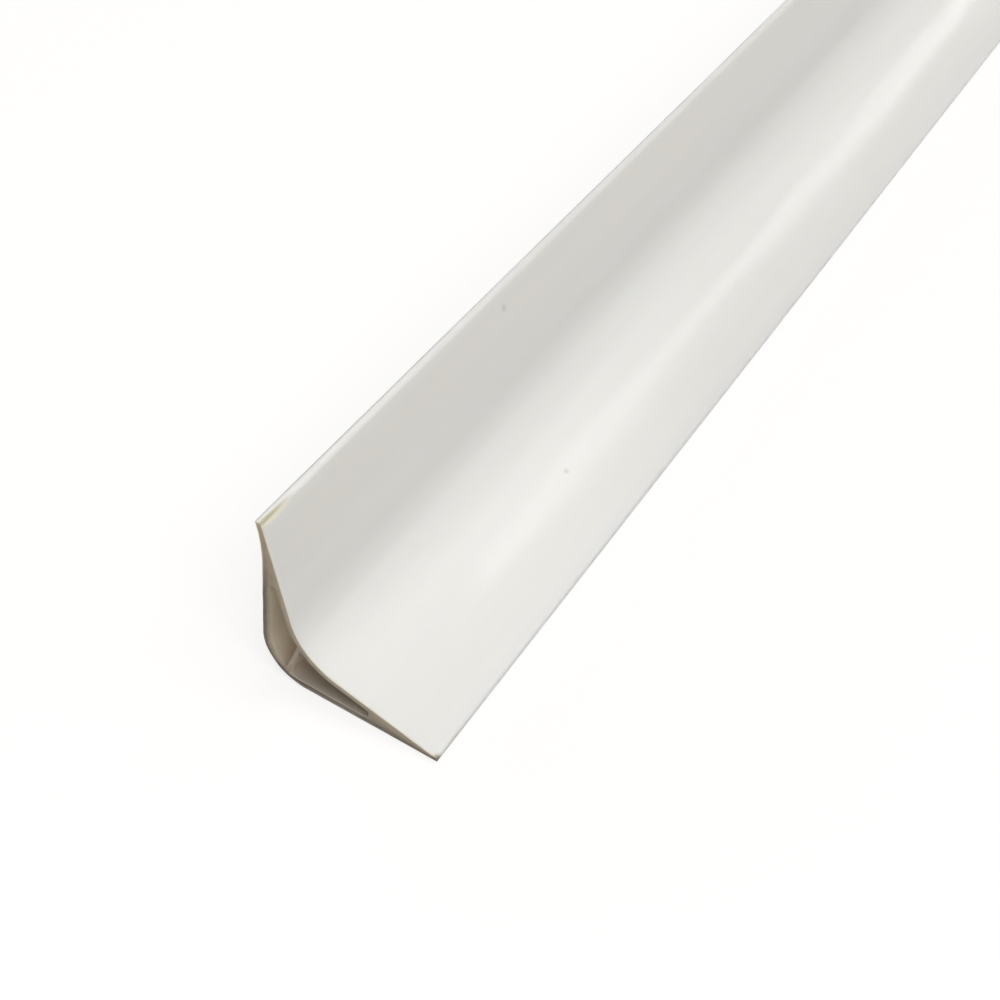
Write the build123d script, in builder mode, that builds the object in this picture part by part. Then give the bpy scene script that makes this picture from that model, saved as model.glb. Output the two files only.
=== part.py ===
from build123d import *
import os

# Internal corner trim: one length of hollow white PVC with a coved face.
# It lies as it is seen lying, with one leg flat on the floor and the other leg upright.
# X runs along the lying leg, Y along the length and Z up the upright leg.
# The origin is at the floor, midway along the trim and midway across it.

# Stock
length = 2400.0          # a length that the trim is sold in, sawn square at both ends
leg = 30.0               # each leg, from the planes of the walls to the tip of its lip
wall = 1.2               # front wall and back wall alike
corner_radius = 7.8      # rounded back corner, which clears the bead in the corner of the walls

# Coved front wall: two flat wings that meet in a hollow curve
cove_inset = 6.8         # where the planes of the wings would meet, square off each back face
cove_radius = 11.0       # hollow curve between the wings

# Lips at the ends of the legs
lying_lip = 0.8          # thickness of the lying leg's lip at its tip
lying_nose = 0.6         # rounding of its tip towards the coved face
upright_lip = 1.2        # thickness of the upright leg's lip at its tip
upright_nose = 0.9       # rounding of its tip towards the coved face
lip_round = 0.25         # rounding of both tips towards the walls
lip_length = 5.0         # part of the upright leg that is set back as a sprung lip
lip_toe = 1.15           # how far the upright lip's tip reaches past the leg's back face
lip_bend_radius = 30.0   # easing of the bend where the sprung lip starts

# Two chambers between the walls, with one web between them
chamber_reach = 18.2     # how far up each leg its chamber goes, and past it the walls are one
chamber_round = 0.3      # rounding in the corners of the chambers
web = 0.8                # thickness of the web
web_slope = 17.0         # lean of the web off upright, in degrees
web_place = 5.4          # middle of the web, square off each back face

# The section is drawn from the line where the two back faces would meet.
section_plane = Plane(origin=((lip_toe - leg) / 2, 0, 0), x_dir=(1, 0, 0), z_dir=(0, -1, 0))


def draw_outline():
    """Outer line of the section: back legs, round corner, lips and coved front."""
    FilletPolyline(
        (leg, 0),
        (leg, lying_lip),
        (cove_inset, cove_inset),
        (upright_lip - lip_toe, leg),
        (-lip_toe, leg),
        (0, leg - lip_length),
        (0, 0),
        radius=[
            lip_round, lying_nose, cove_radius, upright_nose, lip_round, lip_bend_radius, corner_radius,
        ],
        close=True,
    )


with BuildPart() as corner_trim:
    with BuildSketch(section_plane):
        with BuildLine():
            draw_outline()
        make_face()
    extrude(amount=length / 2, both=True)

    # Chambers: what is left inside the walls, ended bluntly up each leg and parted by the web
    with BuildSketch(section_plane):
        with BuildLine():
            draw_outline()
        make_face()
        offset(amount=-wall)
        Rectangle(chamber_reach, chamber_reach, align=Align.MIN, mode=Mode.INTERSECT)
        with Locations(Location((web_place, web_place), -web_slope)):
            Rectangle(web, leg, mode=Mode.SUBTRACT)
        offset(amount=-chamber_round)
        offset(amount=chamber_round)
    extrude(amount=length / 2, both=True, mode=Mode.SUBTRACT)

corner_trim.part.label = "corner_trim"

os.makedirs("parts", exist_ok=True)
export_step(corner_trim.part, "parts/corner_trim.step")
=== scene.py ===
import math

import bpy
from bpy.props import FloatProperty, FloatVectorProperty, IntProperty, PointerProperty
from mathutils import Matrix, Vector, noise
from mathutils.geometry import tessellate_polygon


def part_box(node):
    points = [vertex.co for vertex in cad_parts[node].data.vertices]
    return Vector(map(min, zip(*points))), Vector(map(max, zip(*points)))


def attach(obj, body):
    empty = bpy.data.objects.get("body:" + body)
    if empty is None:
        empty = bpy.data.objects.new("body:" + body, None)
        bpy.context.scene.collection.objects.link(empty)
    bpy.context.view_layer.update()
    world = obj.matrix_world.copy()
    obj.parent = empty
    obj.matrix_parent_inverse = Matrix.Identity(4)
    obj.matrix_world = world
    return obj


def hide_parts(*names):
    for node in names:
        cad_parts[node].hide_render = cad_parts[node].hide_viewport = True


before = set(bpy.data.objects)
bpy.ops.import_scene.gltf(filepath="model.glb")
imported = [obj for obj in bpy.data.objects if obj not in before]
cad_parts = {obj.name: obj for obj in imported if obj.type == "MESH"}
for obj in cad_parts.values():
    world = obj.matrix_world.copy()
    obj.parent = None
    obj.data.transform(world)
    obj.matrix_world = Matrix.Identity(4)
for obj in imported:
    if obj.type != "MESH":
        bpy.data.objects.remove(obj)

bl_info = {
    "name": "Internal Corner Trim",
    "version": (1, 0, 0),
    "blender": (4, 5, 0),
    "location": "3D View > Sidebar > Corner Trim",
    "description": "Makes a length of hollow coved PVC trim with sawn ends, and a plain stage for it",
    "category": "Object",
}

# The trim lies with one leg flat on the floor and the other leg upright. X runs along the lying
# leg, Y along the length and Z up the upright leg. Sizes are in metres.
NODE = "corner_trim"
LOW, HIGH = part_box(NODE)
LENGTH = HIGH.y - LOW.y
LEG = HIGH.z - LOW.z
BACK = HIGH.x - LEG           # plane of the upright leg's back face

MM = 0.001
SHARP_TURN = math.radians(20)  # a corner that turns less than this belongs to a curve
ARRIS_PARTS = 4                # steps round the arris of a sawn end


def linear(hex_colour):
    """An sRGB hex colour as linear red, green and blue."""
    shares = [int(hex_colour[i:i + 2], 16) / 255 for i in (0, 2, 4)]
    return [s / 12.92 if s <= 0.04045 else ((s + 0.055) / 1.055) ** 2.4 for s in shares]


class TrimSize(bpy.types.PropertyGroup):
    """Section of the trim, measured from the planes of its two back faces."""
    wall: FloatProperty(
        name="Wall", description="Thickness of the front wall and the back wall",
        default=1.2 * MM, unit="LENGTH", precision=5)
    corner_radius: FloatProperty(
        name="Corner radius", description="Rounded back corner between the legs",
        default=7.8 * MM, unit="LENGTH", precision=5)
    cove_inset: FloatProperty(
        name="Cove inset", description="Where the planes of the wings would meet, square off each back face",
        default=6.8 * MM, unit="LENGTH", precision=5)
    cove_radius: FloatProperty(
        name="Cove radius", description="Hollow curve between the wings",
        default=11 * MM, unit="LENGTH", precision=5)
    lying_lip: FloatProperty(
        name="Lying lip", description="Thickness of the lying leg's lip at its tip",
        default=0.8 * MM, unit="LENGTH", precision=5)
    lying_nose: FloatProperty(
        name="Lying nose", description="Rounding of the lying tip towards the coved face",
        default=0.6 * MM, unit="LENGTH", precision=5)
    upright_lip: FloatProperty(
        name="Upright lip", description="Thickness of the upright leg's lip at its tip",
        default=1.2 * MM, unit="LENGTH", precision=5)
    upright_nose: FloatProperty(
        name="Upright nose", description="Rounding of the upright tip towards the coved face",
        default=0.9 * MM, unit="LENGTH", precision=5)
    lip_round: FloatProperty(
        name="Lip rounding", description="Rounding of both tips towards the walls",
        default=0.25 * MM, unit="LENGTH", precision=5)
    lip_length: FloatProperty(
        name="Lip length", description="Part of the upright leg that is set back as a sprung lip",
        default=5 * MM, unit="LENGTH", precision=5)
    lip_toe: FloatProperty(
        name="Lip toe", description="How far the upright lip's tip reaches past the leg's back face",
        default=1.15 * MM, unit="LENGTH", precision=5)
    lip_bend_radius: FloatProperty(
        name="Lip bend", description="Easing of the bend where the sprung lip starts",
        default=30 * MM, unit="LENGTH", precision=5)
    chamber_reach: FloatProperty(
        name="Chamber reach", description="How far up each leg its chamber goes",
        default=18.2 * MM, unit="LENGTH", precision=5)
    chamber_round: FloatProperty(
        name="Chamber rounding", description="Rounding in the corners of the chambers",
        default=0.3 * MM, unit="LENGTH", precision=5)
    web: FloatProperty(
        name="Web", description="Thickness of the web between the chambers",
        default=0.8 * MM, unit="LENGTH", precision=5)
    web_slope: FloatProperty(
        name="Web slope", description="Lean of the web off upright",
        default=math.radians(17), subtype="ANGLE")
    web_place: FloatProperty(
        name="Web place", description="Middle of the web, square off each back face",
        default=5.4 * MM, unit="LENGTH", precision=5)
    arris: FloatProperty(
        name="Arris", description="Rounding of the sawn ends on the coved side, about double at the back",
        default=0.15 * MM, unit="LENGTH", precision=5)
    chamber_arris: FloatProperty(
        name="Chamber arris", description="Wear on the sawn edges of the chambers",
        default=0.25 * MM, unit="LENGTH", precision=5)
    arc_step: FloatProperty(
        name="Arc step", description="Turn between two points of a curve",
        default=math.radians(5), subtype="ANGLE")
    strip: FloatProperty(
        name="Strip", description="Widest strip of a flat face",
        default=1.5 * MM, unit="LENGTH", precision=5)
    slices: IntProperty(
        name="Slices", description="Slices along the length", default=260, min=2)
    ripple: FloatProperty(
        name="Ripple", description="How far the drawn-out faces wander along the length",
        default=0.04 * MM, unit="LENGTH", precision=5)


class TrimColours(bpy.types.PropertyGroup):
    """Colours of the PVC and of what has settled on it."""
    face: FloatVectorProperty(
        name="Face", description="Gloss white PVC of the drawn-out faces",
        default=linear("F2F0EB"), subtype="COLOR", min=0, max=1)
    inside: FloatVectorProperty(
        name="Inside", description="Dull PVC inside the chambers",
        default=linear("FFF0DC"), subtype="COLOR", min=0, max=1)
    # The sawn colour is the bared PVC's warm tone, painted darker and browner as shade on the ends
    sawn: FloatVectorProperty(
        name="Sawn", description="PVC bared by the saw",
        default=linear("C4B6A1"), subtype="COLOR", min=0, max=1)
    # The cream colour is partly a painted highlight, brighter than the face, on the sawn arris
    cream: FloatVectorProperty(
        name="Cream", description="Worn PVC on and beside a sawn edge",
        default=linear("FFF4DE"), subtype="COLOR", min=0, max=1)
    # Olive tint at the tips near the near end
    olive_tint: FloatVectorProperty(
        name="Bruise", description="Olive stain where the tips were knocked",
        default=linear("A8A67A"), subtype="COLOR", min=0, max=1)
    # The grime colour is also painted shade along the sawn back edge, on the lips' roundings and in the
    # chambers' mouths
    grime_and_shade: FloatVectorProperty(
        name="Grime", description="Dirt on the back edges and in the chambers, and grit drawn into the faces",
        default=linear("6E675E"), subtype="COLOR", min=0, max=1)
    floor: FloatVectorProperty(
        name="Floor", description="Plain pale floor",
        default=linear("989693"), subtype="COLOR", min=0, max=1)


def arc_at(before, corner, after, radius, step):
    """Points of the arc that rounds a corner."""
    back, on = (before - corner).normalized(), (after - corner).normalized()
    half = back.angle(on) / 2
    middle = corner + (back + on).normalized() * (radius / math.sin(half))
    start = corner + back * (radius / math.tan(half)) - middle
    turn = math.copysign(math.pi - 2 * half, (corner - before).cross(after - corner))
    parts = max(2, math.ceil(abs(turn) / step))
    return [middle + Matrix.Rotation(turn * i / parts, 2) @ start for i in range(parts + 1)]


def rounded(corners, step):
    """A closed loop through corners, each given as (place, radius), with every corner as an arc."""
    places = [Vector(place) for place, _ in corners]
    loop = []
    for i, (_, radius) in enumerate(corners):
        after = places[(i + 1) % len(places)]
        loop += arc_at(places[i - 1], places[i], after, radius, step)
    return loop


def in_strips(loop, widest):
    """The loop with its long straight runs cut into strips."""
    cut = []
    for a, b in zip(loop, loop[1:] + loop[:1]):
        parts = max(1, math.ceil((b - a).length / widest))
        cut += [a.lerp(b, i / parts) for i in range(parts)]
    return cut


def clipped(loop, place, outward):
    """What is left of a loop behind a line through place."""
    kept = []
    for a, b in zip(loop, loop[1:] + loop[:1]):
        da, db = (a - place).dot(outward), (b - place).dot(outward)
        if da <= 0:
            kept.append(a)
        if (da < 0 < db) or (db < 0 < da):
            kept.append(a.lerp(b, da / (da - db)))
    return kept


def shortened(run, amount):
    """A run of points with a length taken off its start."""
    for i, (a, b) in enumerate(zip(run, run[1:])):
        step = (b - a).length
        if step > amount:
            return [a.lerp(b, amount / step)] + run[i + 1:]
        amount -= step
    return run[-1:]


def eased(loop, radius, step):
    """The loop with each sharp corner rounded."""
    count = len(loop)
    turns = [(loop[i] - loop[i - 1]).angle(loop[(i + 1) % count] - loop[i]) for i in range(count)]
    sharp = [i for i in range(count) if turns[i] > SHARP_TURN]
    runs = []
    for i, j in zip(sharp, sharp[1:] + [sharp[0] + count]):
        run = [loop[k % count] for k in range(i, j + 1)]
        run = shortened(run, radius * math.tan(turns[i] / 2))
        runs.append(shortened(run[::-1], radius * math.tan(turns[j % count] / 2))[::-1])
    smooth = []
    for i, run in enumerate(runs):
        smooth += arc_at(runs[i - 1][-1], loop[sharp[i]], run[0], radius, step)[:-1] + run[:-1]
    return smooth


def outline(size):
    """Outer loop of the section: back legs, round corner, lips and coved front."""
    corners = [
        ((LEG, 0), size.lip_round),
        ((LEG, size.lying_lip), size.lying_nose),
        ((size.cove_inset, size.cove_inset), size.cove_radius),
        ((size.upright_lip - size.lip_toe, LEG), size.upright_nose),
        ((-size.lip_toe, LEG), size.lip_round),
        ((0, LEG - size.lip_length), size.lip_bend_radius),
        ((0, 0), size.corner_radius),
    ]
    return rounded(corners, size.arc_step)


def wing_plane(size, tip):
    """A point on the inner face of the wing that ends at tip, and the way along it."""
    vertex = Vector((size.cove_inset, size.cove_inset))
    along = (tip - vertex).normalized()
    square = Vector((along.y, -along.x))
    if square.dot(vertex) > 0:
        square.negate()
    return vertex + square * size.wall, along


def chambers(size):
    """The loops of the two chambers, the upright leg's first."""
    wall, reach = size.wall, size.chamber_reach
    lying, lying_way = wing_plane(size, Vector((LEG, size.lying_lip)))
    upright, upright_way = wing_plane(size, Vector((size.upright_lip - size.lip_toe, LEG)))
    lying_end = lying + lying_way * ((reach - lying.x) / lying_way.x)
    upright_end = upright + upright_way * ((reach - upright.y) / upright_way.y)
    # The inner faces of the two wings meet here
    meet = (upright - lying).cross(upright_way) / lying_way.cross(upright_way)
    inner = rounded([
        ((reach, wall), size.chamber_round),
        (lying_end, size.chamber_round),
        (lying + lying_way * meet, size.cove_radius + wall),
        (upright_end, size.chamber_round),
        ((wall, reach), size.chamber_round),
        ((wall, wall), size.corner_radius - wall),
    ], size.arc_step)
    across = Vector((math.cos(size.web_slope), -math.sin(size.web_slope)))
    middle = Vector((size.web_place, size.web_place))
    halves = [
        clipped(inner, middle - across * size.web / 2, across),
        clipped(inner, middle + across * size.web / 2, -across),
    ]
    return [eased(half, size.chamber_round, size.arc_step) for half in halves]


def square_off(loop):
    """Unit vectors square off a loop, to the right of the way it runs."""
    ways = []
    for i, place in enumerate(loop):
        along = loop[(i + 1) % len(loop)] - loop[i - 1]
        ways.append(Vector((along.y, -along.x)).normalized())
    return ways


def wander(place, y):
    """How far the die and the haul-off let a face wander here, from 0 to 1."""
    across, along = 12 * MM, 70 * MM
    return 0.5 + 0.5 * noise.noise(Vector((place.x / across, y / along, place.y / across)))


def worn(size, place, out):
    """How far the sawn edge is rounded here: more at the back, less on the thin lips, never evenly."""
    off_tip = min(LEG - place.x, LEG - place.y)
    thickness = size.lying_lip + off_tip * size.cove_inset / LEG
    at_back = 1 + max(0, -out.x - out.y)
    uneven = 1 + 0.3 * noise.noise(Vector((place.x, place.y, 0)) / (2.5 * MM))
    return min(size.arris * at_back, 0.3 * thickness) * uneven


# The trim's material slots
DRAWN, CHAMBER, SAWN, ARRIS, COVED_INSIDE = range(5)


def faces_between(loops, ways, start, after, on_arris):
    """The faces from one ring of the trim to the next, each with its slot."""
    first = 0
    for k, loop in enumerate(loops):
        for i in range(len(loop)):
            a, b = first + i, first + (i + 1) % len(loop)
            quad = (start + a, after + a, after + b, start + b)
            coved = ways[k][i].x + ways[k][i].y > 0
            if k == 0:
                yield quad[::-1], ARRIS if on_arris else DRAWN
            elif on_arris:
                yield quad, SAWN
            else:
                yield quad, COVED_INSIDE if coved else CHAMBER
        first += len(loop)


def sawn_faces(loops, start, sign):
    """The triangles of a sawn end over its ring, which face one way along Y or the other."""
    flat = [[Vector((p.x, p.y, 0)) for p in loop] for loop in loops]
    joined = [p for loop in flat for p in loop]
    for a, b, c in tessellate_polygon(flat):
        turn = (joined[b] - joined[a]).cross(joined[c] - joined[a]).z
        order = (a, b, c) if turn * sign > 0 else (a, c, b)
        yield tuple(start + i for i in order)


def trim_mesh(size):
    """The whole trim, with its chambers open at both sawn ends."""
    outer = in_strips(outline(size), size.strip)
    loops = [outer] + [in_strips(loop, size.strip) for loop in chambers(size)]
    ways = [square_off(outer)] + [[-way for way in square_off(loop)] for loop in loops[1:]]
    arrises = [[worn(size, place, out) for place, out in zip(outer, ways[0])]]
    arrises += [[size.chamber_arris] * len(loop) for loop in loops[1:]]
    turns = [i / ARRIS_PARTS * math.pi / 2 for i in range(ARRIS_PARTS + 1)]
    step = LENGTH / size.slices
    # Each ring: its end, its way in from there, and the turn of the arris or else its place
    rings = [(LOW.y, 1, turn, 0) for turn in turns]
    rings += [(LOW.y, 1, None, step * i) for i in range(1, size.slices)]
    rings += [(HIGH.y, -1, turn, 0) for turn in reversed(turns)]
    points, faces, slots, ring_start = [], [], [], []
    for end, way_in, turn, off in rings:
        ring_start.append(len(points))
        for loop, way, arris in zip(loops, ways, arrises):
            for place, out, radius in zip(loop, way, arris):
                back = 0 if turn is None else radius * (1 - math.sin(turn))
                along = off if turn is None else radius * (1 - math.cos(turn))
                y = end + way_in * along
                at = place - out * (back + size.ripple * wander(place, y))
                points.append((BACK + at.x, y, LOW.z + at.y))
    last = len(rings) - 2
    for r, (start, after) in enumerate(zip(ring_start, ring_start[1:])):
        on_arris = min(r, last - r) < ARRIS_PARTS
        for face, slot in faces_between(loops, ways, start, after, on_arris):
            faces.append(face)
            slots.append(slot)
    for start, sign in ((ring_start[0], 1), (ring_start[-1], -1)):
        for face in sawn_faces(loops, start, sign):
            faces.append(face)
            slots.append(SAWN)
    mesh = bpy.data.meshes.new("corner_trim_drawn")
    mesh.from_pydata(points, [], faces)
    mesh.polygons.foreach_set("material_index", slots)
    mesh.polygons.foreach_set("use_smooth", [True] * len(faces))
    mesh.update()
    mesh.set_sharp_from_angle(angle=math.radians(35))
    return mesh


# Light goes some way into PVC, red the furthest, so a thin wall glows a little on its dark side
PVC = {"IOR": 1.53, "Subsurface Weight": 1, "Subsurface Radius": (1.15, 1.08, 1.0)}
SKIN_REACH = 1.1 * MM         # under the drawn skin
CHAMBER_REACH = 0.9 * MM      # into the chambers' back walls
COVED_REACH = 3.2 * MM        # through the coved wall, lit from its other side
SAWN_REACH = 3.2 * MM         # into the sawn face, across the walls

# Marks near the near end: place off the sharp back corner and half sizes in mm, colour, and share
MARKS = [
    # The cream mark is a painted highlight on the upright tip
    ((0.2, 3, 29.3), (0.6, 4.4, 0.8), "cream", 0.9),
    # The olive marks tint the tips near the near end
    ((-0.1, 0.3, 29.85), (0.5, 8.5, 0.5), "olive_tint", 0.8),
    ((30.3, 3, 0.6), (0.9, 12, 0.9), "olive_tint", 0.3),
    ((30, 0, 0.3), (1.4, 1.5, 1.3), "olive_tint", 1.0),
    ((30, 0, 0.2), (1.5, 1.2, 1.2), "grime_and_shade", 0.8),
    ((1.03, 62.25, 26.49), (0.8, 1.0, 1.0), "grime_and_shade", 0.18),
    ((18.04, 57.75, 3.89), (0.7, 0.8, 0.7), "grime_and_shade", 0.2),
]


def add(tree, kind, inputs=None, **settings):
    """Adds a node. Its inputs are given by name or number, each as a value or as another node's output."""
    node = tree.nodes.new(kind)
    for name, value in settings.items():
        setattr(node, name, value)
    for name, value in (inputs or {}).items():
        if isinstance(value, bpy.types.NodeSocket):
            tree.links.new(value, node.inputs[name])
        else:
            node.inputs[name].default_value = value
    return node


def new_material(name, colour):
    """An empty node material, and the colour it shows in a solid view."""
    material = bpy.data.materials.new(name)
    material.use_nodes = True
    material.node_tree.nodes.clear()
    material.diffuse_color = (*colour, 1)
    return material


def marked(tree, place, clean, colours):
    """A colour with the olive tints, grit, grime and the painted highlight of the near end over it."""
    for at, half, name, share in MARKS:
        centre = (BACK + at[0] * MM, LOW.y + at[1] * MM, LOW.z + at[2] * MM)
        off = add(tree, "ShaderNodeVectorMath", {0: place, 1: centre}, operation="SUBTRACT")
        off = add(tree, "ShaderNodeVectorMath", {0: off.outputs[0], 1: [1 / (h * MM) for h in half]},
                  operation="MULTIPLY")
        off = add(tree, "ShaderNodeVectorMath", {0: off.outputs[0]}, operation="LENGTH")
        near = add(tree, "ShaderNodeMapRange", {
            "Value": off.outputs["Value"], "From Min": 1, "From Max": 0.2, "To Max": share},
            interpolation_type="SMOOTHSTEP")
        over = add(tree, "ShaderNodeMix", {0: near.outputs[0], 6: clean, 7: (*getattr(colours, name), 1)},
                   data_type="RGBA")
        clean = over.outputs[2]
    return clean


def shaded_back_edge(tree, place, clean, colours, size):
    """A colour with painted shade over it along the back edge, most of it round the corner."""
    reach = size.corner_radius
    # This is reach all along the back edge, round its corner too, and less further in
    off = add(tree, "ShaderNodeVectorMath", {0: (BACK + reach, 0, LOW.z + reach), 1: place},
              operation="SUBTRACT")
    off = add(tree, "ShaderNodeVectorMath", {0: off.outputs[0], 1: (1, 0, 1)}, operation="MULTIPLY")
    off = add(tree, "ShaderNodeVectorMath", {0: off.outputs[0], 1: (0, 0, 0)}, operation="MAXIMUM")
    off = add(tree, "ShaderNodeVectorMath", {0: off.outputs[0]}, operation="LENGTH")
    edge = add(tree, "ShaderNodeMapRange", {
        "Value": off.outputs["Value"], "From Min": reach - 1.4 * MM, "From Max": reach - 0.5 * MM,
        "To Max": 0.95},
        interpolation_type="SMOOTHSTEP")
    # The painted shade thins out along the lying leg, and towards the top of the upright one
    across = add(tree, "ShaderNodeSeparateXYZ", {0: place})
    along_lying = add(tree, "ShaderNodeMapRange", {
        "Value": across.outputs["X"], "From Min": BACK + 4 * MM, "From Max": BACK + 12 * MM,
        "To Min": 1, "To Max": 0.08})
    up_leg = add(tree, "ShaderNodeMapRange", {
        "Value": across.outputs["Z"], "From Min": LOW.z + 17 * MM, "From Max": LOW.z + 24 * MM,
        "To Min": 1, "To Max": 0.1})
    share = add(tree, "ShaderNodeMath", {0: edge.outputs[0], 1: along_lying.outputs[0]}, operation="MULTIPLY")
    share = add(tree, "ShaderNodeMath", {0: share.outputs[0], 1: up_leg.outputs[0]}, operation="MULTIPLY")
    over = add(tree, "ShaderNodeMix", {0: share.outputs[0], 6: clean, 7: (*colours.grime_and_shade, 1)},
               data_type="RGBA")
    return over.outputs[2]


def gloss_upvc(colours):
    """Rigid PVC drawn through a polished die.

    It gives a bright clean white with a soft gloss. The die leaves faint lines along the length,
    and a little grit is drawn in with the melt.
    """
    material = new_material("gloss_upvc_extruded", colours.face)
    tree = material.node_tree
    place = add(tree, "ShaderNodeTexCoord").outputs["Object"]
    # Die lines are about 0.4 mm apart and run for half a metre
    lines = add(tree, "ShaderNodeMapping", {"Vector": place, "Scale": (1 / (0.8 * MM), 2, 1 / (0.8 * MM))})
    line = add(tree, "ShaderNodeTexNoise", {
        "Vector": lines.outputs[0], "Scale": 1, "Detail": 2, "Roughness": 0.6})
    # Streaks, about 2.5 mm wide, where the melt ran hotter or cooler
    streaks = add(tree, "ShaderNodeMapping", {"Vector": place, "Scale": (1 / (5 * MM), 9, 1 / (5 * MM))})
    streak = add(tree, "ShaderNodeTexNoise", {
        "Vector": streaks.outputs[0], "Scale": 1, "Detail": 3, "Roughness": 0.55})
    tint = add(tree, "ShaderNodeMapRange", {
        "Value": streak.outputs["Fac"], "From Min": 0.3, "From Max": 0.7, "To Min": 0.978, "To Max": 1.012})
    white = add(tree, "ShaderNodeVectorMath", {0: colours.face, "Scale": tint.outputs[0]}, operation="SCALE")
    # The last half millimetre before each saw cut is painted cream, a painted highlight along the sawn arris
    along = add(tree, "ShaderNodeSeparateXYZ", {0: place})
    off_middle = add(tree, "ShaderNodeMath", {0: along.outputs["Y"]}, operation="ABSOLUTE")
    by_cut = add(tree, "ShaderNodeMapRange", {
        "Value": off_middle.outputs[0], "From Min": LENGTH / 2 - 0.5 * MM, "From Max": LENGTH / 2 - 0.1 * MM},
        interpolation_type="SMOOTHSTEP")
    white = add(tree, "ShaderNodeMix", {0: by_cut.outputs[0], 6: white.outputs[0], 7: (*colours.cream, 1)},
                data_type="RGBA")
    # Grit, a few tenths of a millimetre across and some 30 mm apart
    grit = add(tree, "ShaderNodeTexVoronoi", {"Vector": place, "Scale": 1 / (9 * MM)})
    grit = add(tree, "ShaderNodeMapRange", {
        "Value": grit.outputs["Distance"], "From Min": 0.035, "From Max": 0.015, "To Max": 0.25},
        interpolation_type="SMOOTHSTEP")
    white = add(tree, "ShaderNodeMix", {0: grit.outputs[0], 6: white.outputs[2], 7: (*colours.grime_and_shade, 1)},
                data_type="RGBA")
    # Painted shade lies in patches on the lips' roundings towards the walls, in the grime colour
    facing = add(tree, "ShaderNodeNewGeometry").outputs["Normal"]
    turned = add(tree, "ShaderNodeVectorMath", {0: facing, 1: (1, 0, 1)}, operation="DOT_PRODUCT")
    turned = add(tree, "ShaderNodeMath", {0: turned.outputs["Value"]}, operation="ABSOLUTE")
    patch = add(tree, "ShaderNodeTexNoise", {"Vector": place, "Scale": 1 / (25 * MM), "Detail": 1})
    held = add(tree, "ShaderNodeMapRange", {
        "Value": patch.outputs["Fac"], "From Min": 0.35, "From Max": 0.65, "To Min": 0.5, "To Max": 0.95})
    edge = add(tree, "ShaderNodeMapRange", {
        "Value": turned.outputs[0], "From Min": 0.98, "From Max": 0.7, "To Max": held.outputs[0]})
    white = add(tree, "ShaderNodeMix", {0: edge.outputs[0], 6: white.outputs[2], 7: (*colours.grime_and_shade, 1)},
                data_type="RGBA")
    colour = marked(tree, place, white.outputs[2], colours)
    shine = add(tree, "ShaderNodeMapRange", {
        "Value": streak.outputs["Fac"], "From Min": 0.3, "From Max": 0.7, "To Min": 0.06, "To Max": 0.08})
    # The hollow shrinks off the die as it cools, so it mirrors less sharply than the wings. Its
    # curve ends some 13 mm up each leg
    off_back = add(tree, "ShaderNodeVectorMath", {0: place, 1: (BACK, 0, LOW.z)}, operation="SUBTRACT")
    off_back = add(tree, "ShaderNodeSeparateXYZ", {0: off_back.outputs[0]})
    off_back = add(tree, "ShaderNodeMath", {0: off_back.outputs["X"], 1: off_back.outputs["Z"]},
                   operation="MAXIMUM")
    hollow = add(tree, "ShaderNodeMapRange", {
        "Value": off_back.outputs[0], "From Min": 16 * MM, "From Max": 13.5 * MM})
    shine = add(tree, "ShaderNodeMix", {0: hollow.outputs[0], 2: shine.outputs[0], 3: 0.25})
    shine = add(tree, "ShaderNodeMix", {0: edge.outputs[0], 2: shine.outputs[0], 3: 0.6})
    relief = add(tree, "ShaderNodeBump", {
        "Height": line.outputs["Fac"], "Strength": 0.25, "Distance": 0.002 * MM})
    # The skin cools unevenly, so what it mirrors wavers every few millimetres across
    waves = add(tree, "ShaderNodeMapping", {
        "Vector": place, "Scale": (1 / (5 * MM), 1 / (35 * MM), 1 / (5 * MM))})
    wave = add(tree, "ShaderNodeTexNoise", {"Vector": waves.outputs[0], "Scale": 1, "Detail": 1})
    relief = add(tree, "ShaderNodeBump", {
        "Height": wave.outputs["Fac"], "Strength": 1, "Distance": 0.016 * MM, "Normal": relief.outputs[0]})
    shader = add(tree, "ShaderNodeBsdfPrincipled", {
        **PVC, "Base Color": colour, "Roughness": shine.outputs[0], "Subsurface Scale": SKIN_REACH,
        "Normal": relief.outputs[0]})
    add(tree, "ShaderNodeOutputMaterial", {"Surface": shader.outputs[0]})
    return material


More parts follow.
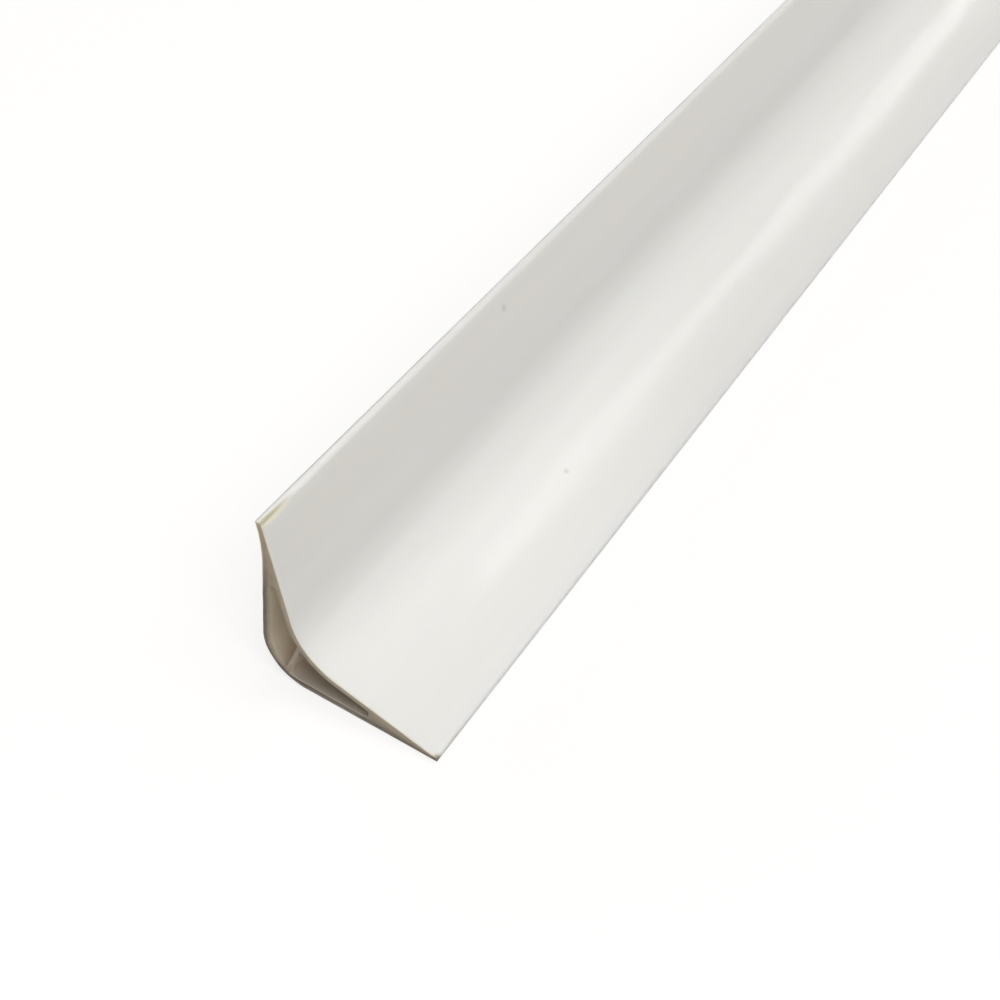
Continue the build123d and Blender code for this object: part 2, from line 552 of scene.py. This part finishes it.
def dull_upvc(colours, name, reach):
    """Rigid PVC inside the chambers, which cooled in still air, clear of the polished die.

    It gives a dull off-white with long soft draw marks, browner near the cut, with saw dust and painted
    shade.
    """
    material = new_material(name, colours.inside)
    tree = material.node_tree
    place = add(tree, "ShaderNodeTexCoord").outputs["Object"]
    marks = add(tree, "ShaderNodeMapping", {"Vector": place, "Scale": (1 / (1.2 * MM), 8, 1 / (1.2 * MM))})
    mark = add(tree, "ShaderNodeTexNoise", {"Vector": marks.outputs[0], "Scale": 1, "Detail": 3})
    tint = add(tree, "ShaderNodeMapRange", {"Value": mark.outputs["Fac"], "To Min": 0.94, "To Max": 1.02})
    colour = add(tree, "ShaderNodeVectorMath", {0: colours.inside, "Scale": tint.outputs[0]},
                 operation="SCALE")
    # Saw dust and painted shade darken the last 10 mm, most at the cut and on what faces up
    normal = add(tree, "ShaderNodeNewGeometry").outputs["Normal"]
    facing = add(tree, "ShaderNodeSeparateXYZ", {0: normal})
    lying = add(tree, "ShaderNodeMapRange", {
        "Value": facing.outputs["Z"], "From Min": 0.3, "To Min": 0.35, "To Max": 0.65})
    along = add(tree, "ShaderNodeSeparateXYZ", {0: place})
    off_middle = add(tree, "ShaderNodeMath", {0: along.outputs["Y"]}, operation="ABSOLUTE")
    by_cut = add(tree, "ShaderNodeMapRange", {
        "Value": off_middle.outputs[0], "From Min": LENGTH / 2 - 10 * MM, "From Max": LENGTH / 2})
    dust_and_shade = add(tree, "ShaderNodeMath", {0: lying.outputs[0], 1: by_cut.outputs[0]}, operation="MULTIPLY")
    colour = add(tree, "ShaderNodeMix", {0: dust_and_shade.outputs[0], 6: colour.outputs[0], 7: (*colours.grime_and_shade, 1)},
                 data_type="RGBA")
    relief = add(tree, "ShaderNodeBump", {
        "Height": mark.outputs["Fac"], "Strength": 0.5, "Distance": 0.05 * MM})
    shader = add(tree, "ShaderNodeBsdfPrincipled", {
        **PVC, "Base Color": colour.outputs[2], "Roughness": 0.5, "Subsurface Scale": reach,
        "Normal": relief.outputs[0]})
    add(tree, "ShaderNodeOutputMaterial", {"Surface": shader.outputs[0]})
    return material


def sawn_upvc(colours, size):
    """Rigid PVC bared by a circular saw.

    It gives a matt, slightly warm face with fine curved tooth marks. Its colour is darker and browner than
    the PVC's own, as painted shade.
    """
    material = new_material("sawn_upvc", colours.sawn)
    tree = material.node_tree
    place = add(tree, "ShaderNodeTexCoord").outputs["Object"]
    # The blade's centre lay 120 mm below the trim. Its teeth left marks 2.5 mm apart, and a wave
    # texture takes 20 radians to its unit, so that is 0.4 mm a radian
    blade = add(tree, "ShaderNodeMapping", {"Vector": place, "Location": (0.06, 0, 0.12)})
    marks = add(tree, "ShaderNodeTexWave", {
        "Vector": blade.outputs[0], "Scale": 1 / (0.4 * MM) / 20, "Distortion": 1.5, "Detail": 2,
        "Detail Scale": 4}, wave_type="RINGS", rings_direction="Y")
    grain = add(tree, "ShaderNodeTexNoise", {"Vector": place, "Scale": 1 / (0.5 * MM), "Detail": 3})
    height = add(tree, "ShaderNodeMath", {0: marks.outputs["Fac"], 1: grain.outputs["Fac"]}, operation="ADD")
    tint = add(tree, "ShaderNodeMapRange", {
        "Value": height.outputs[0], "From Max": 2, "To Min": 0.92, "To Max": 1.05})
    bare = add(tree, "ShaderNodeVectorMath", {0: colours.sawn, "Scale": tint.outputs[0]}, operation="SCALE")
    colour = shaded_back_edge(tree, place, marked(tree, place, bare.outputs[0], colours), colours, size)
    relief = add(tree, "ShaderNodeBump", {
        "Height": height.outputs[0], "Strength": 0.6, "Distance": 0.04 * MM})
    shader = add(tree, "ShaderNodeBsdfPrincipled", {
        **PVC, "Base Color": colour, "Roughness": 0.6, "Subsurface Scale": SAWN_REACH,
        "Normal": relief.outputs[0]})
    add(tree, "ShaderNodeOutputMaterial", {"Surface": shader.outputs[0]})
    return material


def arris_upvc_painted_light(colours, size):
    """Rigid PVC on the arris round a sawn face, worn smooth in handling.

    It gives a cream edge, partly a painted highlight, and a dark line of painted shade round the back.
    """
    material = new_material("arris_upvc_painted_highlight_and_shade", colours.cream)
    tree = material.node_tree
    place = add(tree, "ShaderNodeTexCoord").outputs["Object"]
    colour = shaded_back_edge(tree, place, marked(tree, place, (*colours.cream, 1), colours), colours, size)
    grain = add(tree, "ShaderNodeTexNoise", {"Vector": place, "Scale": 1 / (0.8 * MM), "Detail": 3})
    relief = add(tree, "ShaderNodeBump", {
        "Height": grain.outputs["Fac"], "Strength": 0.4, "Distance": 0.03 * MM})
    shader = add(tree, "ShaderNodeBsdfPrincipled", {
        **PVC, "Base Color": colour, "Roughness": 0.45, "Subsurface Scale": SKIN_REACH,
        "Normal": relief.outputs[0]})
    add(tree, "ShaderNodeOutputMaterial", {"Surface": shader.outputs[0]})
    return material


class CORNER_TRIM_OT_draw_out(bpy.types.Operator):
    """Makes the trim, finished all over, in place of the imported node"""
    bl_idname = "corner_trim.draw_out"
    bl_label = "Draw Out the Trim"

    def execute(self, context):
        colours = context.scene.trim_colours
        size = context.scene.trim_size
        mesh = trim_mesh(size)
        for finish in (
            gloss_upvc(colours),
            dull_upvc(colours, "dull_upvc_chamber", CHAMBER_REACH),
            sawn_upvc(colours, size),
            arris_upvc_painted_light(colours, size),
            dull_upvc(colours, "dull_upvc_chamber_coved_wall", COVED_REACH),
        ):
            mesh.materials.append(finish)
        trim = bpy.data.objects.new("white_pvc_corner_trim", mesh)
        context.scene.collection.objects.link(trim)
        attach(trim, "root")
        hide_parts(NODE)
        return {"FINISHED"}


# The camera stands a little over 0.2 m from the near sawn end and looks along and down the trim
EYE = Vector((BACK + 0.09189, LOW.y - 0.12236, 0.19292))
EYE_TURN = [math.radians(a) for a in (44.26, -5.38, 30.74)]
LENS_MM = 60.2
SENSOR_MM = 36

FLOOR_HALF = 15
FLOOR_GLOW = 0.75             # share of white that the eye sees in the floor whatever light falls on it
ROOM_GLOW = 0.03              # what the pale room adds to the lamps
FLOOR_DROP = 0.02 * MM        # keeps the floor and the trim's back from sharing a plane

# Each lamp: name, place off the near end, the point off the near end that it faces, its width and
# height, its strength in watts, and the way across it that it fades out, if any
LAMPS = [
    ("overhead", (0, -0.5, 2.5), (0, -0.5, 0), (1.6, 1.6), 7.5, None),
    ("right", (0.85, -0.5, 1.35), (0, 0, 0), (1.0, 1.0), 10.5, None),
    ("ceiling", (0.65, 1.35, 2.5), (0.65, 1.35, 0), (3.1, 3.0), 35, "Y"),
    ("wall", (2.2, 1.35, 1.525), (0, 1.35, 1.525), (3.0, 1.95), 10.3, "X"),
    ("tube", (0.268, 4.5, 1.95), (0.268, 4.5, 0), (0.036, 6.0), 1.5, None),
    ("front", (0.16, -0.43, 0.12), (0.01, 0, 0.01), (0.3, 0.15), 0.3, None),
    ("back", (-3.0, 1.2, 1.2), (0, 1.2, 0), (4.0, 1.8), 42, None),
]


def seen_white(tree):
    """1 for what the camera, a mirror or glass sees, so that the stage looks white in all three."""
    path = add(tree, "ShaderNodeLightPath")
    seen = add(tree, "ShaderNodeMath", {0: path.outputs["Is Camera Ray"], 1: path.outputs["Is Glossy Ray"]},
               operation="MAXIMUM")
    seen = add(tree, "ShaderNodeMath", {0: seen.outputs[0], 1: path.outputs["Is Transmission Ray"]},
               operation="MAXIMUM")
    return seen.outputs[0]


def floor_paint(colours):
    """Plain matt paint. It gives a pale ground that holds the trim's shadow."""
    material = new_material("matt_floor_paint", colours.floor)
    tree = material.node_tree
    paint = add(tree, "ShaderNodeBsdfDiffuse", {"Color": (*colours.floor, 1)})
    glow = add(tree, "ShaderNodeMath", {0: seen_white(tree), 1: FLOOR_GLOW}, operation="MULTIPLY")
    light = add(tree, "ShaderNodeEmission", {"Color": (1, 1, 1, 1), "Strength": glow.outputs[0]})
    both = add(tree, "ShaderNodeAddShader", {0: paint.outputs[0], 1: light.outputs[0]})
    add(tree, "ShaderNodeOutputMaterial", {"Surface": both.outputs[0]})
    return material


def add_lamp(context, name, place, facing, size, power, fade):
    """A soft rectangular lamp that the camera doesn't see, only what it lights."""
    light = bpy.data.lights.new(name, "AREA")
    light.shape = "RECTANGLE"
    light.size, light.size_y = size
    light.energy = power
    if fade:
        light.use_nodes = True
        tree = light.node_tree
        tree.nodes.clear()
        spot = add(tree, "ShaderNodeNewGeometry").outputs["Parametric"]
        across = add(tree, "ShaderNodeSeparateXYZ", {0: spot})
        left = add(tree, "ShaderNodeMath", {0: 1.0, 1: across.outputs[fade]}, operation="SUBTRACT")
        share = add(tree, "ShaderNodeMath", {0: left.outputs[0], 1: across.outputs[fade]},
                    operation="MULTIPLY")
        # A factor of 6 keeps the lamp's strength as it was
        glow = add(tree, "ShaderNodeMath", {0: share.outputs[0], 1: 6.0}, operation="MULTIPLY")
        light_out = add(tree, "ShaderNodeEmission", {"Strength": glow.outputs[0]})
        add(tree, "ShaderNodeOutputLight", {"Surface": light_out.outputs[0]})
    lamp = bpy.data.objects.new(name, light)
    near_end = Vector((0, LOW.y, 0))
    lamp.location = near_end + Vector(place)
    lamp.rotation_euler = (Vector(facing) - Vector(place)).to_track_quat("-Z", "Y").to_euler()
    lamp.visible_camera = False
    context.scene.collection.objects.link(lamp)


class CORNER_TRIM_OT_set_stage(bpy.types.Operator):
    """Sets a plain pale floor, soft lamps, a pale world and the camera"""
    bl_idname = "corner_trim.set_stage"
    bl_label = "Set the Stage"

    def execute(self, context):
        scene = context.scene
        mesh = bpy.data.meshes.new("stage_floor")
        ways = [(-1, -1), (1, -1), (1, 1), (-1, 1)]
        corners = [(x * FLOOR_HALF, y * FLOOR_HALF, -FLOOR_DROP) for x, y in ways]
        mesh.from_pydata(corners, [], [(0, 1, 2, 3)])
        mesh.materials.append(floor_paint(scene.trim_colours))
        floor = bpy.data.objects.new("stage_floor", mesh)
        scene.collection.objects.link(floor)
        for lamp in LAMPS:
            add_lamp(context, *lamp)
        world = bpy.data.worlds.new("pale_room")
        world.use_nodes = True
        world.node_tree.nodes.clear()
        room = add(world.node_tree, "ShaderNodeBackground", {"Color": (1, 1, 1, 1), "Strength": ROOM_GLOW})
        white = add(world.node_tree, "ShaderNodeBackground", {"Color": (1, 1, 1, 1), "Strength": 1})
        both = add(world.node_tree, "ShaderNodeMixShader", {
            0: seen_white(world.node_tree), 1: room.outputs[0], 2: white.outputs[0]})
        add(world.node_tree, "ShaderNodeOutputWorld", {"Surface": both.outputs[0]})
        scene.world = world
        data = bpy.data.cameras.new("camera")
        data.lens, data.sensor_width = LENS_MM, SENSOR_MM
        data.clip_start, data.clip_end = 0.01, 100
        camera = bpy.data.objects.new("camera", data)
        camera.location = EYE
        camera.rotation_euler = EYE_TURN
        scene.collection.objects.link(camera)
        scene.camera = camera
        scene.view_settings.view_transform = "Standard"
        return {"FINISHED"}


class CORNER_TRIM_PT_sidebar(bpy.types.Panel):
    """Lists what can be made, and the sizes and colours that it takes"""
    bl_label = "Corner Trim"
    bl_idname = "CORNER_TRIM_PT_sidebar"
    bl_space_type = "VIEW_3D"
    bl_region_type = "UI"
    bl_category = "Corner Trim"

    def draw(self, context):
        layout = self.layout
        layout.operator(CORNER_TRIM_OT_draw_out.bl_idname)
        layout.operator(CORNER_TRIM_OT_set_stage.bl_idname)
        for group in (context.scene.trim_size, context.scene.trim_colours):
            box = layout.box()
            for name in group.bl_rna.properties.keys():
                if name not in ("rna_type", "name"):
                    box.prop(group, name)


CLASSES = (TrimSize, TrimColours, CORNER_TRIM_OT_draw_out, CORNER_TRIM_OT_set_stage, CORNER_TRIM_PT_sidebar)


def register():
    for cls in CLASSES:
        bpy.utils.register_class(cls)
    bpy.types.Scene.trim_size = PointerProperty(type=TrimSize)
    bpy.types.Scene.trim_colours = PointerProperty(type=TrimColours)


def unregister():
    del bpy.types.Scene.trim_colours
    del bpy.types.Scene.trim_size
    for cls in reversed(CLASSES):
        bpy.utils.unregister_class(cls)


def main():
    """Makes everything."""
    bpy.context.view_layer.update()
    register()
    bpy.ops.corner_trim.draw_out()
    bpy.ops.corner_trim.set_stage()


if __name__ == "__main__":
    main()
